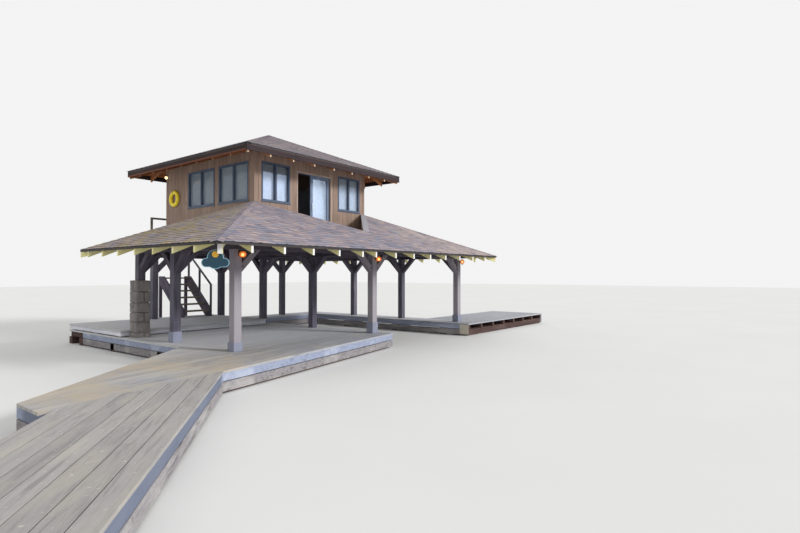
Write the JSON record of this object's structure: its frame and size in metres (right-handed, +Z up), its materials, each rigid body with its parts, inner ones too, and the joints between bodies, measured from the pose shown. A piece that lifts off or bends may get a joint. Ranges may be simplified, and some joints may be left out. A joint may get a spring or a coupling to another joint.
{
  "type": "boathouse",
  "caption": "Two-storey timber boathouse: a hipped roof on braced posts over docks and a boat slip, with a glazed square cabin rising through the roof behind a notched balcony.",
  "frame": {"origin": "Under the centre of the near-left post, at the level where the dock cribs meet the water", "axes": "+X runs right along the lake front, +Y runs back towards the shore, +Z is up"},
  "size_m": [21.0777, 14.9407, 6.4929],
  "materials": {
    "dock_boards": "weathered grey boards",
    "crib_timber": "dark stained timber",
    "post_timber": "dark weathered timber",
    "wrap_foam": "pale padded wrap",
    "pier_stone": "rough pale masonry",
    "floor_boards": "worn boards",
    "cap_paint": "pale painted boards",
    "lower_shingles": "weathered shingles",
    "mossy_shingles": "weathered shingles with moss",
    "rafter_timber": "pale sawn timber",
    "siding": "stained vertical boards",
    "frame_paint": "satin",
    "pane_glass": "clear",
    "door_paint": "satin",
    "upper_shingles": "weathered shingles",
    "fascia_paint": "dark painted boards",
    "tail_timber": "stained timber",
    "ring_foam": "matt",
    "lamp_amber": "translucent amber",
    "board_paint": "painted",
    "rail_metal": "worn",
    "rail_timber": "dark painted"
  },
  "bodies": {
    "root": {"left_dock": "dock_boards", "walkway": "dock_boards", "back_dock": "dock_boards", "back_platform": "dock_boards", "right_dock": "dock_boards", "dock_joists": "crib_timber", "dock_sills": "crib_timber", "dock_rims": "crib_timber", "posts": "post_timber", "post_wraps": "wrap_foam", "stone_pier": "pier_stone", "braces": "post_timber", "cross_beams": "post_timber", "row_beams": "post_timber", "plates": "post_timber", "floor_joists": "post_timber", "cabin_floor": "floor_boards", "balcony_floor": "floor_boards", "balcony_sides": "siding", "balcony_cap": "cap_paint", "roof_front": "lower_shingles", "roof_left": "mossy_shingles", "roof_right": "lower_shingles", "roof_back": "lower_shingles", "rafters": "rafter_timber", "hip_rafters": "rafter_timber", "front_wall_left": "siding", "front_wall_right": "siding", "wall_over_door": "siding", "left_wall": "siding", "right_wall": "siding", "back_wall": "siding", "window_frames": "frame_paint", "window_glass": "pane_glass", "door_frame": "frame_paint", "sliding_door": "frame_paint", "back_door": "door_paint", "upper_roof": "upper_shingles", "upper_fascia": "fascia_paint", "rafter_tails": "tail_timber", "life_ring": "ring_foam", "lanterns": "lamp_amber", "hanging_board": "board_paint", "stair_stringers": "post_timber", "stair_treads": "dock_boards", "stair_rail": "rail_metal", "landing": "floor_boards", "landing_rail": "rail_timber"}
  },
  "joints": []
}
